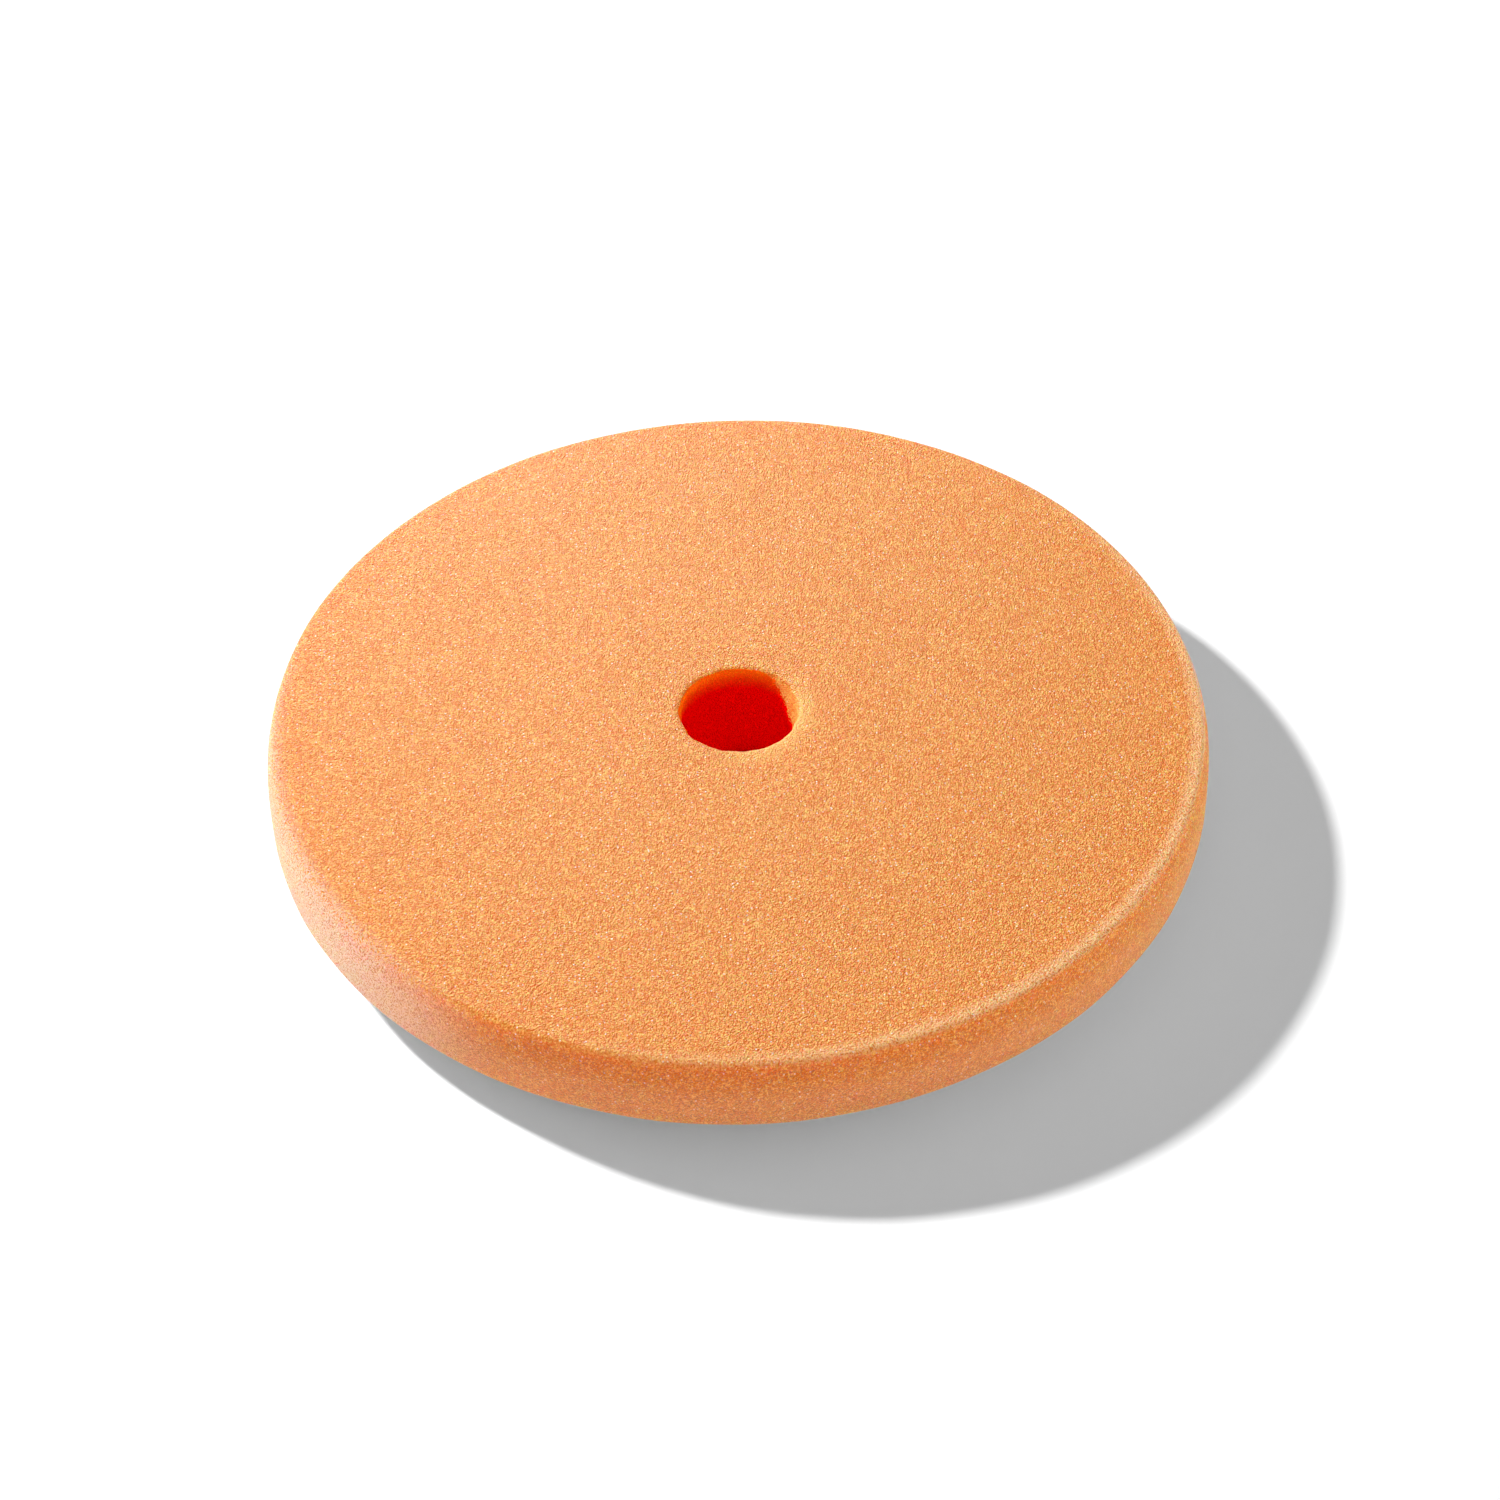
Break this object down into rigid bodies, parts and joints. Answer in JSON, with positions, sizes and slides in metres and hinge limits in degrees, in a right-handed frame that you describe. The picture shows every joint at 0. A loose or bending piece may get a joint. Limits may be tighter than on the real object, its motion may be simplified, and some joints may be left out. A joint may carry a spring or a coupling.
{
  "type": "polishing pad",
  "caption": "Flat round open-cell foam polishing pad, working face up, with a centring hole, an undercut side and a loop-fabric backing for a hook-and-loop plate.",
  "frame": {"origin": "centre of the loop pile's underside, on the pad's turning axis, where the pad rests on a surface", "axes": "+Z along the turning axis, from the loop backing towards the working face; +X and +Y lie in the backing's plane, and the pad is the same all round"},
  "size_m": [0.165, 0.165, 0.0218],
  "materials": {
    "foam": "matte",
    "adhesive": "satin",
    "knit": "matte",
    "loops": "matte"
  },
  "bodies": {
    "root": {"foam_disc": "foam", "adhesive_film": "adhesive", "backing_knit": "knit", "loop_pile": "loops"}
  },
  "joints": []
}
